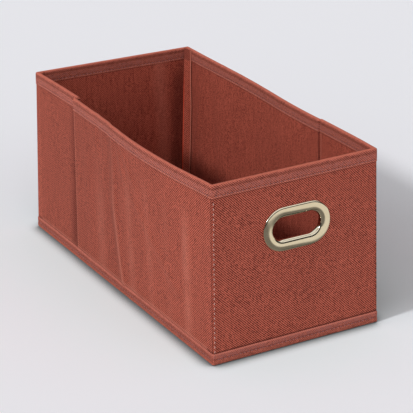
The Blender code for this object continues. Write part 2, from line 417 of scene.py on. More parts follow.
def swept_sheet(name, columns, column_runs, rows, outward, thickness, finish, turn=None, end_runs=None):
    """A sheet over columns of points, with its cloth map in metres and its thickness behind it."""
    wide, high = len(columns), len(columns[0])
    shape = bmesh.new()
    bmesh.ops.create_grid(shape, x_segments=wide - 1, y_segments=high - 1, size=0.5)
    spots = {vert: (round((vert.co.x + 0.5) * (wide - 1)), round((vert.co.y + 0.5) * (high - 1)))
             for vert in shape.verts}
    for vert, (column, row) in spots.items():
        vert.co = columns[column][row]
    cloth_map = shape.loops.layers.uv.new("cloth")
    for face in shape.faces:
        middle = sum(spots[vert][0] for vert in face.verts) / len(face.verts)
        runs = end_runs if turn is not None and middle > turn else column_runs
        for loop in face.loops:
            column, row = spots[loop.vert]
            loop[cloth_map].uv = (runs[column], rows[row])
    shape.normal_update()
    third = max(1, high // 3)
    first_rows = [face for face in shape.faces if max(spots[vert][1] for vert in face.verts) <= third]
    if max(first_rows, key=lambda face: face.calc_area()).normal.dot(outward) < 0:
        bmesh.ops.reverse_faces(shape, faces=shape.faces)
    return shape_to_cloth(name, shape, thickness, finish)


def new_piece(name, shape, finish, sharp_angle=SHARP_ANGLE):
    """An object of the shape, smooth but for edges sharper than the angle in degrees."""
    mesh = bpy.data.meshes.new(name)
    shape.to_mesh(mesh)
    shape.free()
    mesh.shade_smooth()
    mesh.set_sharp_from_angle(angle=math.radians(sharp_angle))
    mesh.materials.append(finish)
    piece = bpy.data.objects.new(name, mesh)
    bpy.context.collection.objects.link(piece)
    return piece


def shape_to_cloth(name, shape, thickness, finish):
    """A piece with crisp borders and its thickness behind the shape."""
    border = [edge.index for edge in shape.edges if edge.is_boundary]
    piece = new_piece(name, shape, finish)
    attributes = piece.data.attributes
    sharp = attributes.get("sharp_edge") or attributes.new("sharp_edge", "BOOLEAN", "EDGE")
    for index in border:
        sharp.data[index].value = True
    solid = piece.modifiers.new("thickness", "SOLIDIFY")
    solid.thickness = thickness
    solid.offset = -1
    return piece


def wall_sheet(name, wall, outline, rows, finish, node, held=None, inner=False, thickness=CLOTH, margin=0.0):
    """A cloth or board of one wall, which rides on the wall's body."""
    runs = wall.runs(margin)
    columns = [[wall.point(run, depth, height) for depth, height in outline] for run in runs]
    outward = -wall.outward() if inner else wall.outward()
    piece = swept_sheet(name, columns, runs, rows, outward, thickness, finish)
    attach(piece, wall.body)
    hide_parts(node)
    if held:
        runs[-1] - runs[0]
        lengths_of(outline)[-1]
    return piece


def sunk_outline(outline, inner):
    """The outline a hair behind its own face, for an end that lies under its neighbour."""
    moved = []
    for index, (depth, height) in enumerate(outline):
        before, after = outline[max(0, index - 1)], outline[min(len(outline) - 1, index + 1)]
        moved.append(Vector((before[1] - after[1], after[0] - before[0])).normalized())
    side = 1 if (moved[0].x > 0) != inner else -1
    return [(depth + side * away.x * HAIR, height + side * away.y * HAIR)
            for (depth, height), away in zip(outline, moved)]


def corner_stations():
    """Stations round a corner; the two outermost lie under the walls' own pieces."""
    leg = [-0.04, 0.0, 0.1, 0.2, 0.3]
    bend = [0.36, 0.40, 0.43, 0.46, 0.48, 0.50, 0.52, 0.54, 0.57, 0.60, 0.64]
    return leg + bend + [1 - station for station in reversed(leg)]


def corner_sheet(name, corner, outline, rows, finish, inner=False, chamfer=0.0):
    """Cloth that goes round a corner and bends between the two walls when they fold."""
    stations = corner_stations()
    sunk = sunk_outline(outline, inner)
    columns = [[corner.place(station, depth, height, chamfer)
                for depth, height in (outline if 0 < station < 1 else sunk)] for station in stations]
    steps = [(far[0] - near[0]).length for near, far in zip(columns, columns[1:])]
    travelled = [sum(steps[:index]) for index in range(len(stations))]
    side_runs = [corner.y + corner.in_y * (CORNER_REACH - run + travelled[1]) for run in travelled]
    end_runs = [corner.x + corner.in_x * (CORNER_REACH - travelled[-2] + run) for run in travelled]
    outward = Vector((-corner.in_x, -corner.in_y, 0))
    piece = swept_sheet(name, columns, side_runs, rows, -outward if inner else outward, CLOTH, finish,
                        turn=len(stations) / 2, end_runs=end_runs)
    corner.blend(piece)
    lengths_of(outline)[-1]
    return piece


# The corners at each wall's two ends, and the stations round a corner for half a foot band and for stitches
CORNER_ENDS = {
    "front": ("front_left", "front_right"),
    "rear": ("rear_left", "rear_right"),
    "left": ("front_left", "rear_left"),
    "right_short": ("front_right", None),
    "right_long": (None, "rear_right"),
}
HALF_TURN = (0.1, 0.2, 0.3, 0.36, 0.40, 0.43, 0.46, 0.48, 0.50)
UNDER_TURN = (0.53, 0.57)
SIDE_FOOT_STITCHES = (0.1, 0.23)
END_FOOT_STITCHES = (0.77, 0.9)
OUTER_RIM_STITCHES = (0.1, 0.27, 0.73, 0.9)
INNER_RIM_STITCHES = (0.12, 0.88)


def turn_columns(corner, on_side, outline):
    """Columns from a wall's end to the middle of the turn; a side wall's go on under the end wall's."""
    columns, travelled = [], [0.0]
    last = corner.place(0.0 if on_side else 1.0, *outline[0])
    for station in HALF_TURN + (UNDER_TURN if on_side else ()):
        shape = sunk_outline(outline, False) if station > 0.5 else outline
        columns.append([corner.place(station if on_side else 1 - station, depth, height)
                        for depth, height in shape])
        travelled.append(travelled[-1] + (columns[-1][0] - last).length)
        last = columns[-1][0]
    base, way = (corner.y, corner.in_y) if on_side else (corner.x, corner.in_x)
    return columns, [base + way * (CORNER_REACH - run) for run in travelled[1:]]


def foot_band(wall, corners):
    """A wall's foot band, which goes round to the middle of each corner."""
    outline = hem_outline()
    runs = wall.runs()
    columns = [[wall.point(run, depth, height) for depth, height in outline] for run in runs]
    first, last = (corners.get(name) for name in CORNER_ENDS[wall.name])
    on_side = wall.along == "y"
    if first:
        more, more_runs = turn_columns(first, on_side, outline)
        columns, runs = more[::-1] + columns, more_runs[::-1] + runs
    if last:
        more, more_runs = turn_columns(last, on_side, outline)
        columns, runs = columns + more, runs + more_runs
    band = swept_sheet(wall.name + "_foot_band", columns, runs, lengths_of(outline), wall.outward(), CLOTH,
                       left_hem_twill if wall.name == "left" else hem_twill)
    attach(band, wall.body)
    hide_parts(wall.name + "_hem")
    runs[-1] - runs[0]
    lengths_of(outline)[-1]
    places = stitch_row(wall, HEM_STITCH_DEPTH, HEM_STITCH_HEIGHT)
    for corner in (first, last):
        if corner:
            stations = SIDE_FOOT_STITCHES if on_side else END_FOOT_STITCHES
            places += corner_stitch_row(corner, HEM_STITCH_DEPTH, HEM_STITCH_HEIGHT, stations)
    row = stitches(wall.name + "_foot_stitches", places, mauve_thread)
    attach(row, wall.body)
    if wall.name != "left":
        hem_gathers(band, wall.name)
        hem_gathers(row, wall.name)


# Stitches
def stitches(name, places, finish, length=STITCH_LENGTH, width=STITCH_WIDTH):
    """One thread stitch at each (place, along, outward)."""
    shape = bmesh.new()
    for place, along, outward in places:
        along, outward = along.normalized(), outward.normalized()
        turned = Matrix((along, outward, along.cross(outward))).transposed().to_4x4()
        form = Matrix.Translation(place) @ turned @ Matrix.Diagonal((length / 2, width / 2, width / 2, 1))
        bmesh.ops.create_icosphere(shape, subdivisions=1, radius=1, matrix=form)
    return new_piece(name, shape, finish, sharp_angle=80)


def stitch_row(wall, depth, height, inner=False):
    """Places of a level row of stitches along a wall."""
    count = round((wall.end - wall.start) / STITCH_PITCH)
    outward = -wall.outward() if inner else wall.outward()
    row = []
    for index in range(count):
        run = wall.start + (index + 0.5) * (wall.end - wall.start) / count
        place = wall.point(run, depth, height)
        along = wall.point(run + STITCH_PITCH / 3, depth, height) - place
        row.append((place, along, outward))
    return row


def corner_stitch_row(corner, depth, height, stations, inner=False):
    """Places of a few level stitches round a corner."""
    row = []
    for station in stations:
        place = corner.place(station, depth, height)
        along = corner.place(station + 0.02, depth, height) - place
        outward = Vector((0, -corner.in_y, 0)) if station > 0.5 else Vector((-corner.in_x, 0, 0))
        row.append((place, along, -outward if inner else outward))
    return row


# Materials
class Wire:
    """A shader value that can be added, subtracted and multiplied."""

    def __init__(self, nodes, socket):
        self.nodes, self.socket = nodes, socket

    def __add__(self, other):
        return self.nodes.math("ADD", self, other)

    def __sub__(self, other):
        return self.nodes.math("SUBTRACT", self, other)

    def __rsub__(self, other):
        return self.nodes.math("SUBTRACT", other, self)

    def __mul__(self, other):
        return self.nodes.math("MULTIPLY", self, other)


class Nodes:
    """Short ways to add and join the shader nodes of one tree."""

    def __init__(self, tree):
        self.tree = tree

    def set(self, socket, value):
        if isinstance(value, Wire):
            self.tree.links.new(value.socket, socket)
        else:
            socket.default_value = value

    def add(self, kind, inputs=None, output=0, **settings):
        """An output of a new node of this kind, with its settings and its inputs."""
        node = self.tree.nodes.new("ShaderNode" + kind)
        for name, value in settings.items():
            setattr(node, name, value)
        for socket, value in (inputs or {}).items():
            self.set(node.inputs[socket], value)
        return Wire(self, node.outputs[output])

    def math(self, operation, first, second=0.0, clamp=False):
        return self.add("Math", {0: first, 1: second}, operation=operation, use_clamp=clamp)

    def mix(self, factor, first, second):
        return self.add("Mix", {0: factor, 6: first, 7: second}, 2, data_type="RGBA")

    def ease(self, value, low, high, start=0.0, end=1.0):
        """From start at low to end at high, softly."""
        places = {0: value, 1: low, 2: high, 3: start, 4: end}
        return self.add("MapRange", places, interpolation_type="SMOOTHSTEP")

    def line(self, value, centre, half_width):
        """One at the centre, nothing beyond the half width."""
        return self.ease(self.math("ABSOLUTE", value - centre), half_width, 0.0)

    def beyond(self, value, far, near):
        """Full from zero to near, gone at far, and nothing below zero."""
        return self.ease(value, far, near) * self.math("GREATER_THAN", value, 0.0)

    def noise(self, vector, size, detail=2.0):
        """Noise from 0 to 1 whose lumps are about size across."""
        return self.add("TexNoise", {"Scale": 1 / size, "Detail": detail, "Vector": vector}, "Fac")

    def place(self):
        return self.add("TexCoord", output="Object")

    def parts(self, vector):
        outputs = self.add("SeparateXYZ", {0: vector}).socket.node.outputs
        return [Wire(self, output) for output in outputs]

    def openness(self, reach):
        """How open the surface is to what stands within reach, from 0 to 1."""
        return self.add("AmbientOcclusion", {"Distance": reach}, "AO")

    def mirrored(self):
        """One where a glossy surface sees this, nought elsewhere."""
        return self.add("LightPath", output="Is Glossy Ray")

    def lay(self, colour, *marks):
        """Move a colour towards the tones of marks, each (where, share, tone)."""
        for where, share, tone in marks:
            colour = self.mix(where * share, colour, tone)
        return colour


class Shader(Nodes):
    """The nodes of one material."""

    def __init__(self, name):
        self.material = bpy.data.materials.new(name)
        self.material.use_nodes = True
        super().__init__(self.material.node_tree)
        self.surface = self.tree.nodes["Principled BSDF"]

    def dress(self, inputs):
        for name, value in inputs.items():
            self.set(self.surface.inputs[name], value)

    def bump(self, height, strength, distance):
        rough = self.add("Bump", {"Strength": strength, "Distance": distance, "Height": height})
        self.set(self.surface.inputs["Normal"], rough)


def srgb(red, green, blue):
    """A colour given as 0 to 255 values, as Blender's linear one."""
    def linear(value):
        value /= 255
        return value / 12.92 if value <= 0.04045 else ((value + 0.055) / 1.055) ** 2.4
    return (linear(red), linear(green), linear(blue), 1.0)


# The yarn's darkest and lightest colours, and the tones laid on it: painted shade, painted highlights,
# painted light, and its other darker, paler and greyer marks
COVER = (srgb(56, 6, 3), srgb(196, 99, 79))
LINING = (srgb(80, 18, 10), srgb(196, 98, 78))
TRIM = (srgb(62, 11, 7), srgb(204, 112, 93))
# a deep red laid on as painted shade, and for some darker lines
DEEP_RED = srgb(80, 26, 18)
# painted shade in the right wall's crease
CREASE_SHADE_RED = srgb(70, 22, 16)
# painted shade beside the rear right corner strip
CORNER_SHADE = srgb(46, 10, 6)
# a pale red laid on as painted highlights, and as paler patches, a pale foot and a pale fold
PALE_AND_HIGHLIGHT_RED = srgb(212, 134, 114)
# painted bright red light on the corner strip
PAINTED_GLOW_RED = srgb(232, 70, 40)
SOFT_RED = srgb(206, 100, 74)
PALE_FOLD = srgb(200, 108, 88)
# a painted highlight on the foot bands' top edges
EDGE_HIGHLIGHT = srgb(190, 112, 98)
# painted shade on the corner strip's top
STRIP_TOP_SHADE = srgb(96, 46, 38)
BAND_GREY = srgb(150, 88, 80)
HEM_GREY = srgb(142, 84, 78)
HEM_SEAM = srgb(96, 40, 36)
SHEEN_TINT = srgb(240, 180, 160)

# The weave: pitches of its ridges and floats, and the sizes of its streaks, flecks and waver
TWILL_PITCH = 1.4 * MM
FLOAT_PITCH = 1.15 * MM
STREAK_WIDTH = 2.2 * MM
STREAK_SHARE = 0.12
BROAD_TONE = 26 * MM
FLECK = 1.2 * MM
WAVER = 1.6 * MM
WAVER_LUMPS = 14 * MM
WEAVE_RELIEF = 0.3 * MM


def twill_cloth(name, yarn, zones=None, lean=1, contrast=1.0, sheen=0.10, relief=0.3, streak=0.15):
    """Woven twill: slanting ridges broken into short floats, with flecks and a broad uneven tone."""
    cloth = Shader(name)
    run, height = cloth.parts(cloth.add("UVMap", uv_map="cloth"))[:2]
    place = cloth.place()
    tall = cloth.add("CombineXYZ", {0: run, 1: height * STREAK_SHARE})
    leaning = run * lean
    rising = leaning + height + (cloth.noise(place, WAVER_LUMPS) - 0.5) * WAVER
    turn = 2 * math.pi / math.sqrt(2)
    ridge = cloth.math("SINE", rising * (turn / TWILL_PITCH))
    floats = cloth.math("SINE", (leaning - height) * (turn / FLOAT_PITCH))
    weave = ridge * 0.30 + floats * 0.13 + (cloth.noise(place, FLECK, 1) - 0.5) * 0.85
    weave = weave + (cloth.noise(tall, STREAK_WIDTH, 1) - 0.5) * streak
    broad = cloth.noise(tall, BROAD_TONE, 2) - 0.5
    level = weave * (1.7 * contrast) + broad * 0.22
    colour = cloth.mix(cloth.math("ADD", level, 0.5, clamp=True), *yarn)
    if zones:
        colour = zones(cloth, colour, run, height)
    cloth.dress({
        "Base Color": colour, "Roughness": cloth.ease(weave, -0.6, 0.6, 0.95, 0.80),
        "Specular IOR Level": 0.2, "Sheen Weight": sheen, "Sheen Roughness": 0.5, "Sheen Tint": SHEEN_TINT,
    })
    cloth.bump(weave, relief, WEAVE_RELIEF)
    return cloth.material


# Zones of cloth: an ease goes from nothing at its first place to full at its second, a line has a centre
# and a half width, both along the run or up the height, and each mark ends with its share and its tone
def painted_band_shade(cloth, colour, run, height, foot_shade=0.75):
    """Painted shade on the cover and lining where they go under the rim band and the foot band."""
    top = cloth.ease(height, BAND_FOOT - 1.5 * MM, BAND_FOOT - 0.2 * MM, 0, 0.55)
    foot = cloth.ease(height, HEM_TOP + 2.2 * MM, HEM_TOP + 0.8 * MM, 0, foot_shade)
    return cloth.mix(cloth.math("MAXIMUM", top, foot), colour, DEEP_RED)


def left_cover_folds(cloth, colour, run, height):
    """The left cover's pale foot and paler patches, painted shade darker towards the rear, painted shade and
    a painted dark groove behind its crease, a painted highlight on the crease's edge, and a painted
    highlight along its ridge with painted shade beside it.
    """
    ease, line = cloth.ease, cloth.line
    patchiness = ease(cloth.noise(cloth.place(), 34 * MM), 0.36, 0.6, 0.35, 1.0) * ease(height, 132 * MM, 90 * MM)
    patches = [(line(run, centre * MM, reach * MM) * patchiness, share, PALE_AND_HIGHLIGHT_RED)
               for centre, reach, share in LEFT_PALE_PATCHES]
    past = run - LEFT_CREASE
    low = cloth.math("MAXIMUM", 104 * MM - height, 0.0)
    beside = run - (1.2 * MM - low * low * 1.2)
    return cloth.lay(
        painted_band_shade(cloth, colour, run, height, foot_shade=0.05),
        (ease(height, HEM_TOP + 4 * MM, HEM_TOP + 1.5 * MM), 0.22, PALE_AND_HIGHLIGHT_RED),
        # painted shade, darker towards the rear
        (ease(run, -110 * MM, 30 * MM, 0.03, 0.19), 1.0, DEEP_RED),
        *patches,
        # painted shade on the tucked part behind the crease
        (cloth.beyond(past, 19 * MM, 1 * MM), 0.66, DEEP_RED),
        # a painted dark groove in the crease, stronger lower down
        (line(past, 0.7 * MM, 1.1 * MM) * ease(height, 130 * MM, 40 * MM, 0.35, 0.75), 1.0, DEEP_RED),
        # a painted highlight on the crease's front edge
        (line(past, -0.9 * MM, 1.2 * MM), 0.2, PALE_AND_HIGHLIGHT_RED),
        # a painted highlight along the ridge
        (line(beside, 0.0, 4 * MM) * ease(height, 128 * MM, 60 * MM, 0.06, 0.22), 1.0, PALE_AND_HIGHLIGHT_RED),
        # painted shade behind the ridge
        (cloth.beyond(beside, 14 * MM, 1 * MM), 0.14, DEEP_RED),
    )


def corner_fold(cloth, colour, run, height):
    """A darker line just round the corner, on the side wall, over the painted shade under the bands."""
    fold = cloth.line(run, FRONT + 1.3 * MM, 1.3 * MM)
    return cloth.lay(painted_band_shade(cloth, colour, run, height), (fold, 0.6, DEEP_RED))


def right_lining_folds(cloth, colour, run, height):
    """Painted shade in the right wall's crease, a painted highlight on its edge, and painted shade towards
    the rear.
    """
    return cloth.lay(
        painted_band_shade(cloth, colour, run, height),
        # painted shade in the crease
        (cloth.line(run, RIGHT_CREASE + 0.4 * MM, 1.2 * MM), 0.7, CREASE_SHADE_RED),
        # a painted highlight on the crease's edge
        (cloth.line(run, RIGHT_CREASE - 1.6 * MM, 1.3 * MM), 0.25, PALE_AND_HIGHLIGHT_RED),
        # painted shade, darker towards the rear
        (cloth.ease(run, 96 * MM, 150 * MM, 0.09, 0.3), 1.0, DEEP_RED),
    )


def rear_lining_folds(cloth, colour, run, height):
    """The rear lining's painted highlight along a soft fold, leaning with the height, and painted shade
    beside the corner strip.
    """
    centre = cloth.ease(height, 60 * MM, RIM, 50 * MM, 44 * MM)
    return cloth.lay(
        painted_band_shade(cloth, colour, run, height),
        # a painted highlight along the soft fold
        (cloth.line(run, centre, 12 * MM), 0.16, PALE_AND_HIGHLIGHT_RED),
        # painted shade beside the corner strip
        (cloth.ease(run, 52 * MM, 64 * MM) * cloth.ease(height, RIM, 110 * MM), 0.5, CORNER_SHADE),
    )


def strip_edges(cloth, colour, run, height):
    """The strip's painted bright red light along one side, fading out towards the top, painted shade from
    the band's foot up, and a pale fold on the other side, by shares of its width.
    """
    side = run * (1 / math.hypot(STRIP_ON_SIDE, STRIP_ON_END))
    return cloth.lay(
        colour,
        # painted bright red light along the fold on one side
        (cloth.ease(side, 0.86, 0.95) * cloth.ease(height, 135 * MM, 105 * MM), 0.7, PAINTED_GLOW_RED),
        # painted shade from the band's foot up
        (cloth.ease(height, BAND_FOOT - MM, BAND_FOOT + MM), 0.55, STRIP_TOP_SHADE),
        (cloth.ease(side, 0.14, 0.05), 0.5, PALE_AND_HIGHLIGHT_RED),
    )


BAND_MIDDLE = lengths_of(band_outline())[-1] / 2


def band_zones(cloth, colour, run, length):
    """The rim's pale fold, the greyish sewn zone and a painted highlight on the edge at the band's foot."""
    drop = cloth.math("ABSOLUTE", length - BAND_MIDDLE)
    sewn = cloth.ease(drop, 4.6 * MM, 6.0 * MM) * cloth.ease(drop, 9.4 * MM, 8.6 * MM)
    mottle = cloth.ease(cloth.noise(cloth.place(), 1.5 * MM, 1), 0.36, 0.64, 0.0, 0.75)
    return cloth.lay(
        colour,
        (cloth.line(drop, 4.0 * MM, 1.8 * MM), 0.45, DEEP_RED),
        (sewn * mottle, 1.0, BAND_GREY),
        (cloth.line(drop, 10.0 * MM, 0.8 * MM), 0.5, DEEP_RED),
        (cloth.ease(drop, 2.2 * MM, 1.2 * MM), 0.55, PALE_FOLD),
        # a painted highlight on the edge at the band's foot
        (cloth.ease(drop, BAND_MIDDLE - 1.6 * MM, BAND_MIDDLE - 1.2 * MM), 0.22, PALE_AND_HIGHLIGHT_RED),
    )


def hem_zones(cloth, colour, run, length):
    """A painted highlight on the top edge and a greyish stitched line along the foot band."""
    woven = cloth.ease(length, 1.2 * MM, 1.8 * MM) * cloth.ease(length, 4.6 * MM, 3.8 * MM)
    mottle = cloth.ease(cloth.noise(cloth.place(), 1.7 * MM), 0.38, 0.64, 0.1, 0.8)
    return cloth.lay(
        colour,
        # a painted highlight on the top edge
        (cloth.ease(length, 1.8 * MM, 0.8 * MM), 0.5, EDGE_HIGHLIGHT),
        (woven * mottle, 1.0, HEM_GREY),
        (cloth.line(length, 5.0 * MM, 0.9 * MM), 0.7, HEM_SEAM),
    )


def left_hem_zones(cloth, colour, run, length):
    """A painted highlight on the top edge, painted shade over the middle and a redder lower fold."""
    middle = cloth.ease(length, 1.6 * MM, 2.8 * MM) * cloth.ease(length, 8.6 * MM, 5.6 * MM)
    return cloth.lay(
        colour,
        # a painted highlight on the top edge
        (cloth.ease(length, 2.2 * MM, 1.0 * MM), 0.3, EDGE_HIGHLIGHT),
        # painted shade over the middle
        (middle, 0.3, DEEP_RED),
        (cloth.ease(length, 7.0 * MM, 8.6 * MM), 0.3, SOFT_RED),
    )


def plain_finish(name, colour, roughness, fleck_size, fleck_share):
    """A flecked matt finish."""
    finish = Shader(name)
    tone = finish.noise(finish.place(), fleck_size, 3)
    dark = tuple(channel * (1 - fleck_share) for channel in colour[:3]) + (1.0,)
    finish.dress({
        "Base Color": finish.mix(tone, dark, colour),
        "Roughness": finish.ease(tone, 0.3, 0.7, roughness * 0.9, roughness),
    })
    finish.bump(tone, 0.2, 0.1 * MM)
    return finish.material


def polished_nickel(name):
    """Pale champagne metal with faint polishing marks."""
    metal = Shader(name)
    marks = metal.noise(metal.place(), 9 * MM, 4)
    metal.dress({
        "Base Color": metal.mix(marks, srgb(226, 214, 190), srgb(240, 231, 212)),
        "Roughness": metal.ease(marks, 0.3, 0.7, 0.05, 0.10),
        "Metallic": 1.0,
    })
    metal.bump(marks, 0.03, 0.05 * MM)
    return metal.material


THREAD_FLECK = 0.8 * MM
INSIDE = {"lean": -1, "streak": 0.3, "sheen": 0.05}
cover_twill = twill_cloth("cover_twill", COVER, painted_band_shade, contrast=1.2)
corner_twill = twill_cloth("corner_twill", COVER, corner_fold, contrast=1.1)
left_twill = twill_cloth("left_cover_twill", COVER, left_cover_folds, contrast=0.9, relief=0.15, streak=0.22)
lining_twill = twill_cloth("lining_twill", LINING, painted_band_shade, **INSIDE)
rear_lining_twill = twill_cloth("rear_lining_twill", LINING, rear_lining_folds, **INSIDE)
right_lining_twill = twill_cloth("right_lining_twill", LINING, right_lining_folds, **INSIDE)
strip_twill = twill_cloth("corner_strip_twill", LINING, strip_edges, contrast=0.8, sheen=0.05)
band_twill = twill_cloth("band_twill", TRIM, band_zones, contrast=0.95)
hem_twill = twill_cloth("hem_twill", TRIM, hem_zones, contrast=0.7)
left_hem_twill = twill_cloth("left_hem_twill", TRIM, left_hem_zones, contrast=0.7)
base_twill = twill_cloth("base_twill", LINING, contrast=0.7, sheen=0.05)
grey_board = plain_finish("grey_board", srgb(158, 148, 134), 0.9, 2 * MM, 0.12)
mauve_thread = plain_finish("mauve_thread", srgb(150, 98, 98), 0.8, THREAD_FLECK, 0.3)
pale_thread = plain_finish("pale_thread", srgb(202, 156, 146), 0.8, THREAD_FLECK, 0.3)
dark_thread = plain_finish("dark_thread", srgb(70, 28, 24), 0.9, THREAD_FLECK, 0.3)
nickel = polished_nickel("champagne_nickel")



def hem_gathers(piece, wall_name):
    """Give a moving wall's foot band, or its stitches, a mesh of its own."""
    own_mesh(piece)


def build_wall(wall):
    """A wall's outer cloth, lining and rim band, with a row of stitches on each side of the band."""
    name = wall.name
    outline = cover_outline()
    finish = left_twill if name == "left" else cover_twill
    cover = wall_sheet(name + "_cover_cloth", wall, outline, heights_of(outline), finish, name + "_cover",
                       held="stretched")
    outline = lining_outline()
    finish = {"right": right_lining_twill, "rear": rear_lining_twill}.get(name.split("_")[0], lining_twill)
    lining = wall_sheet(name + "_lining_cloth", wall, outline, heights_of(outline), finish, name + "_lining",
                        held="stretched", inner=True)
    outline = band_outline()
    wall_sheet(name + "_rim_band", wall, outline, lengths_of(outline), band_twill, name + "_top_binding",
               held="folded")
    for side, depth in zip(("outer", "inner"), BAND_STITCH_DEPTHS):
        places = stitch_row(wall, depth, RIM - BAND_STITCH_DROP, inner=side == "inner")
        row = stitches(name + "_" + side + "_rim_stitches", places, mauve_thread)
        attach(row, wall.body)
    return cover, lining


def build_boards(walls):
    """Each wall's stiff board; the left wall has one on each side of its crease."""
    boards = {}
    outline = board_outline()
    for wall in walls:
        parts = [(wall.name, wall, BOARD_HALF_GAP)]
        if wall.name == "left":
            parts = [(name, Wall(name, wall.body, "y", start, end, LEFT, 1, left_bow, wall.seed), 0)
                     for name, start, end in (("left_long", wall.start, LEFT_CREASE - BOARD_HALF_GAP),
                                              ("left_short", LEFT_CREASE + BOARD_HALF_GAP, wall.end))]
        for name, part, margin in parts:
            boards[name] = wall_sheet(name + "_stiff_board", part, outline, heights_of(outline), grey_board,
                                      name + "_board", thickness=BOARD, margin=margin)
    return boards


def build_inner_strip(corner):
    """The strip of lining across the inside of a corner, from the floor to the rim."""
    depth = WALL + BAND_PROUD + CLOTH
    outline = upright(depth, HEM_TOP - UNDER_BAND, RIM - BAND_PROUD)
    steps = 6
    width = math.hypot(STRIP_ON_SIDE, STRIP_ON_END)
    columns, runs = [], []
    for index in range(steps + 1):
        share = index / steps
        bulge = STRIP_BULGE * math.sin(math.pi * share)
        x = corner.x + corner.in_x * (depth + STRIP_ON_END * share + bulge)
        y = corner.y + corner.in_y * (depth + STRIP_ON_SIDE * (1 - share) + bulge)
        columns.append([settle((x - corner.in_x * corner.bow(y, height), y, height))
                        for height in heights_of(outline)])
        runs.append(width * share)
    strip = swept_sheet(corner.name + "_inner_strip", columns, runs, heights_of(outline),
                        Vector((corner.in_x, corner.in_y, 0)), CLOTH, strip_twill)
    corner.blend(strip)


def build_corner(corner):
    """The cloths and the rim band that go round a corner, with the band's stitches."""
    name = corner.name + "_corner"
    lining_finish, chamfer = lining_twill, 0.0
    if corner.name == "rear_right":
        lining_finish, chamfer = rear_lining_twill, INNER_CHAMFER
    outline = cover_outline()
    corner_sheet(name + "_cover", corner, outline, heights_of(outline), corner_twill)
    outline = lining_outline()
    corner_sheet(name + "_lining", corner, outline, heights_of(outline), lining_finish,
                 inner=True, chamfer=chamfer)
    outline = band_outline()
    corner_sheet(name + "_rim_band", corner, outline, lengths_of(outline), band_twill)
    outer, inner = BAND_STITCH_DEPTHS
    places = corner_stitch_row(corner, outer, RIM - BAND_STITCH_DROP, OUTER_RIM_STITCHES)
    places += corner_stitch_row(corner, inner, RIM - BAND_STITCH_DROP, INNER_RIM_STITCHES, inner=True)
    row = stitches(name + "_stitches", places, mauve_thread)
    corner.blend(row)


def corner_seam(name, corner, seat, finish, first):
    """An upright row of stitches on the front wall beside a corner, the first a share of a pitch up."""
    in_from_corner, sunk = seat
    places = []
    x = corner.x + corner.in_x * in_from_corner
    y = corner.y + COVER_DEPTH + sunk
    for index in range(int((BAND_FOOT - HEM_TOP) / SEAM_PITCH)):
        height = HEM_TOP + (first + index) * SEAM_PITCH
        place = settle((x, y, height))
        along = settle((x, y, height + SEAM_PITCH)) - place
        places.append((place, along, Vector((0, -1, 0))))
    seam = stitches(name, places, finish, length=SEAM_STITCH_LENGTH, width=SEAM_STITCH_WIDTH)
    corner.blend(seam)


# Grommet
ARC_STEPS = 36
STRAIGHT_STEPS = 12

GROMMET_PROUD = 1.7 * MM
GROMMET_LIP = 0.8 * MM
LIP_TURN = (0.3 * MM, 0.9 * MM)
WASHER_GAP = 0.4 * MM

# The face's dome from its outer edge into the hole: (share of the flange, share of how far it is proud)
GROMMET_DOME = (
    (0.985, 0.00), (1.00, 0.20), (1.00, 0.40), (0.985, 0.60), (0.95, 0.76), (0.905, 0.88), (0.85, 0.955),
    (0.78, 0.99), (0.70, 1.0), (0.60, 1.0), (0.50, 0.99), (0.40, 0.965), (0.30, 0.92), (0.22, 0.86),
    (0.15, 0.78), (0.09, 0.67), (0.05, 0.55), (0.02, 0.41), (0.0, 0.25), (-0.02, 0.0), (-0.035, -0.4),
    (-0.035, -0.8), (-0.02, -1.2),
)

# The washer's flange: (share of the face's flange, share of the lip behind the gap)
WASHER_FLANGE = ((0.95, 0.0), (1.0, 0.3), (0.9, 0.7), (0.65, 1.0), (0.4, 0.9))


def oblong(outset, y):
    """A stadium round the finger hole, outset from its edge, in an upright plane at y."""
    radius = FINGER_HOLE[1] / 2 + outset
    straight = (FINGER_HOLE[0] - FINGER_HOLE[1]) / 2
    points = []
    for side in (1, -1):
        for step in range(ARC_STEPS + 1):
            angle = math.pi * (step / ARC_STEPS - 0.5 * side)
            x = side * straight + radius * math.cos(angle)
            points.append((x, y, GROMMET_Z + radius * math.sin(angle)))
        for step in range(1, STRAIGHT_STEPS):
            points.append((side * straight * (1 - 2 * step / STRAIGHT_STEPS), y, GROMMET_Z + side * radius))
    return points


def oblong_ring(name, profile, finish, node):
    """A ring round the finger hole, swept from a closed profile of (outset, y)."""
    rings = [oblong(outset, y) for outset, y in profile]
    around, across = len(rings[0]), len(rings)
    shape = bmesh.new()
    bmesh.ops.create_grid(shape, x_segments=around, y_segments=across, size=0.5)
    for vert in shape.verts:
        column = round((vert.co.x + 0.5) * around) % around
        row = round((vert.co.y + 0.5) * across) % across
        vert.co = settle(rings[row][column])
    bmesh.ops.remove_doubles(shape, verts=shape.verts, dist=1e-6)
    bmesh.ops.recalc_face_normals(shape, faces=shape.faces)
    piece = new_piece(name, shape, finish, sharp_angle=180)
    rounding = piece.modifiers.new("rounding", "SUBSURF")
    rounding.levels = rounding.render_levels = 1
    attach(piece, "front_wall")
    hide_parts(node)


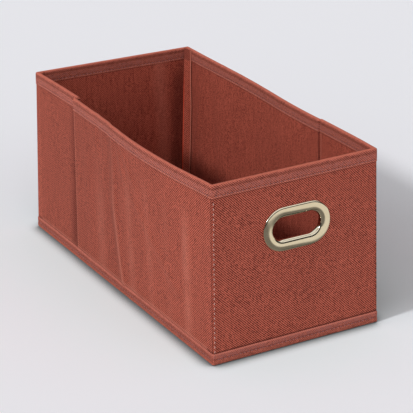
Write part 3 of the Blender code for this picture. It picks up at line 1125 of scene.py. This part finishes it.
def build_grommet():
    back, lip = FRONT + WALL, GROMMET_LIP
    near, far = LIP_TURN
    shell = [(FLANGE * share, FRONT - GROMMET_PROUD * lift) for share, lift in GROMMET_DOME]
    shell += [(0.0, back + 0.6 * lip), (near, back + 1.2 * lip), (far, back + 1.2 * lip), (lip, back + lip)]
    shell += [(lip, FRONT), (FLANGE * 0.9, FRONT)]
    oblong_ring("grommet_polished_face", shell, nickel, "grommet_face")
    start = back + WASHER_GAP
    washer = [(share * FLANGE, start + lift * lip) for share, lift in WASHER_FLANGE]
    washer = [(1.3 * lip, start)] + washer + [(1.3 * lip, start + 0.5 * lip)]
    oblong_ring("grommet_polished_washer", washer, nickel, "grommet_back_washer")


def cut_finger_hole(piece, outset):
    """Cut the finger hole through a cloth or board of the front wall."""
    radius = FINGER_HOLE[1] / 2 + outset
    straight = (FINGER_HOLE[0] - FINGER_HOLE[1]) / 2
    centre_z = settle((0, FRONT, GROMMET_Z)).z
    shape = bmesh.new()
    shape.from_mesh(piece.data)

    def spine(place):
        return Vector((min(straight, max(-straight, place.x)), place.y, centre_z))

    middles = [(face, face.calc_center_median()) for face in shape.faces]
    inside = [face for face, middle in middles if (middle - spine(middle)).length < radius]
    bmesh.ops.delete(shape, geom=inside, context="FACES")
    for vert in shape.verts:
        away = vert.co - spine(vert.co)
        if vert.is_boundary and away.length < 2 * radius:
            vert.co = spine(vert.co) + away.normalized() * radius
    shape.to_mesh(piece.data)
    shape.free()


def flat_sheet(name, node, finish, corner, body):
    """A flat sheet or board with its node's size, rounded corners and soft edges."""
    low, high = (Vector(place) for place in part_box(node))
    size = high - low
    shape = bmesh.new()
    bmesh.ops.create_cube(shape, size=1)
    bmesh.ops.scale(shape, vec=size, verts=shape.verts)
    bmesh.ops.translate(shape, vec=(low + high) / 2, verts=shape.verts)

    def rise(edge):
        return abs(edge.verts[0].co.z - edge.verts[1].co.z)

    soft = {"profile": 0.5, "affect": "EDGES", "material": -1}
    standing = [edge for edge in shape.edges if rise(edge) > size.z / 2]
    bmesh.ops.bevel(shape, geom=standing, offset=corner, segments=8, **soft)
    level = [edge for edge in shape.edges if rise(edge) < size.z / 2]
    bmesh.ops.bevel(shape, geom=level, offset=size.z * 0.3, segments=2, **soft)
    cloth_map = shape.loops.layers.uv.new("cloth")
    for face in shape.faces:
        for loop in face.loops:
            loop[cloth_map].uv = (loop.vert.co.x, loop.vert.co.y)
    piece = new_piece(name, shape, finish)
    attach(piece, body)
    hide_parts(node)
    return piece


def build_floor_pieces():
    """The bottom cloth and the loose insert's three layers."""
    sheet = flat_sheet("bottom_cloth", "bottom_sheet", base_twill, INSERT_CORNER / 2, "left_wall")
    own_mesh(sheet)
    flat_sheet("insert_under_cloth", "insert_bottom_cover", base_twill, INSERT_CORNER, "base_insert")
    flat_sheet("insert_stiff_board", "insert_board", grey_board, INSERT_CORNER, "base_insert")
    flat_sheet("insert_top_cloth", "insert_top_cover", base_twill, INSERT_CORNER, "base_insert")


# Studio
def studio_floor():
    """A pale floor with a painted cool tint near the basket against the red light its walls bounce, a
    painted contact shadow all round and a painted shadow beside its right side, and painted patches of
    reflection that only the metal sees.
    """
    paint = Shader("studio_floor_paint")
    x, y = paint.parts(paint.place())[:2]
    # painted tint: cooler near the basket, to offset the red light bounced from its walls
    cool = paint.ease(paint.openness(140 * MM), 0.55, 1.0, 1.0, 0.0)
    colour = paint.mix(cool, srgb(247, 247, 252), srgb(240, 252, 255))
    # painted contact shadow where the floor meets the basket
    contact = paint.ease(paint.openness(14 * MM), 0.45, 1.0, 0.22, 1.0)
    # painted shadow beside the basket's right side, deeper where the floor is less open
    beside = paint.ease(x, RIGHT, RIGHT + 12 * MM) * paint.ease(y, FRONT - 25 * MM, FRONT + 35 * MM)
    near = paint.ease(paint.openness(80 * MM), 1.0, 0.5, 0.0, 0.16)
    far = paint.ease(paint.openness(240 * MM), 1.0, 0.85, 0.0, 0.16)
    colour = paint.mix(contact * (1.0 - (near + far) * beside), (0, 0, 0, 1), colour)
    # painted reflection: the patches the metal sees in the floor, darker close in front of the basket
    close = paint.ease(y, FRONT - 160 * MM, FRONT - 118 * MM, 0, 0.5)
    seen = paint.mix(paint.ease(x, 128 * MM, 168 * MM), srgb(132, 128, 120), srgb(250, 244, 228))
    seen = paint.lay(
        seen,
        (close, 1.0, srgb(150, 146, 134)),
        (close * paint.line(x, 80 * MM, 18 * MM), 2.0, srgb(30, 44, 34)),
    )
    paint.dress({
        "Base Color": paint.mix(paint.mirrored(), colour, seen), "Roughness": 1.0, "Specular IOR Level": 0.0,
    })
    shape = bmesh.new()
    bmesh.ops.create_grid(shape, x_segments=1, y_segments=1, size=FLOOR_SIZE)
    floor = new_piece("studio_floor", shape, paint.material)
    floor.location.z = -FLOOR_DROP


# The world as the metal sees it, from below to above: (share of the way up, level)
PANEL_BANDS = ((0.0, 0.02), (0.36, 0.05), (0.48, 0.7), (0.58, 1.0), (0.68, 1.0), (0.76, 0.35), (0.86, 0.9))
PANEL_LIGHT = 1.15


def studio_light():
    """A pale world with a brighter front, and one soft sun from the left."""
    world = bpy.data.worlds.new("studio_world")
    bpy.context.scene.world = world
    world.use_nodes = True
    light = Nodes(world.node_tree)
    ways = light.add("TexCoord", output="Generated")
    bright = Vector(BRIGHT_WAY).normalized()
    toward = light.add("VectorMath", {0: ways, 1: bright}, "Value", operation="DOT_PRODUCT")
    strength = light.ease(toward, -0.1, 1.0, WORLD_LIGHT, FRONT_LIGHT)
    panel = light.add("ValToRGB", {0: light.parts(ways)[2]})
    ramp = panel.socket.node.color_ramp.elements
    for index, (place, level) in enumerate(PANEL_BANDS):
        step = ramp[index] if index < 2 else ramp.new(place)
        step.position = place
        step.color = (level, level, level * 0.96, 1)
    mirrored = light.mirrored()
    background = light.tree.nodes["Background"]
    light.set(background.inputs["Color"], light.mix(mirrored, (1, 1, 1, 1), panel))
    light.set(background.inputs["Strength"], light.add("Mix", {0: mirrored, 2: strength, 3: PANEL_LIGHT}))

    lamp = bpy.data.lights.new("soft_key", "SUN")
    lamp.energy = KEY_LIGHT
    lamp.angle = math.radians(KEY_SPREAD)
    key = bpy.data.objects.new("soft_key", lamp)
    bpy.context.collection.objects.link(key)
    key.rotation_euler = Vector(KEY_FROM).to_track_quat("Z", "Y").to_euler()


def camera():
    lens = bpy.data.cameras.new("camera")
    lens.lens = CAMERA_LENS
    lens.sensor_width = CAMERA_SENSOR
    view = bpy.data.objects.new("camera", lens)
    bpy.context.collection.objects.link(view)
    view.location = CAMERA_PLACE
    aim = Vector(CAMERA_AIM) - Vector(CAMERA_PLACE)
    view.rotation_euler = aim.to_track_quat("-Z", "Y").to_euler()
    bpy.context.scene.camera = view


def build_basket():
    walls, corners = make_walls(), make_corners()
    for wall in walls:
        foot_band(wall, {corner.name: corner for corner in corners})
        cover, lining = build_wall(wall)
        if wall.name == "front":
            cut_finger_hole(cover, CLOTH_HOLE_OUTSET)
            cut_finger_hole(lining, CLOTH_HOLE_OUTSET)
    cut_finger_hole(build_boards(walls)["front"], BOARD_HOLE_OUTSET)
    for corner in corners:
        build_corner(corner)
        if corner.name == "rear_right":
            build_inner_strip(corner)
    corner_seam("front_left_pale_seam", corners[0], PALE_SEAM, pale_thread, 0.5)
    corner_seam("front_right_seam", corners[1], DARK_SEAM, dark_thread, 0.4)
    build_grommet()
    build_floor_pieces()


camera()
studio_floor()
studio_light()
build_basket()
bpy.context.scene.view_settings.view_transform = "Standard"
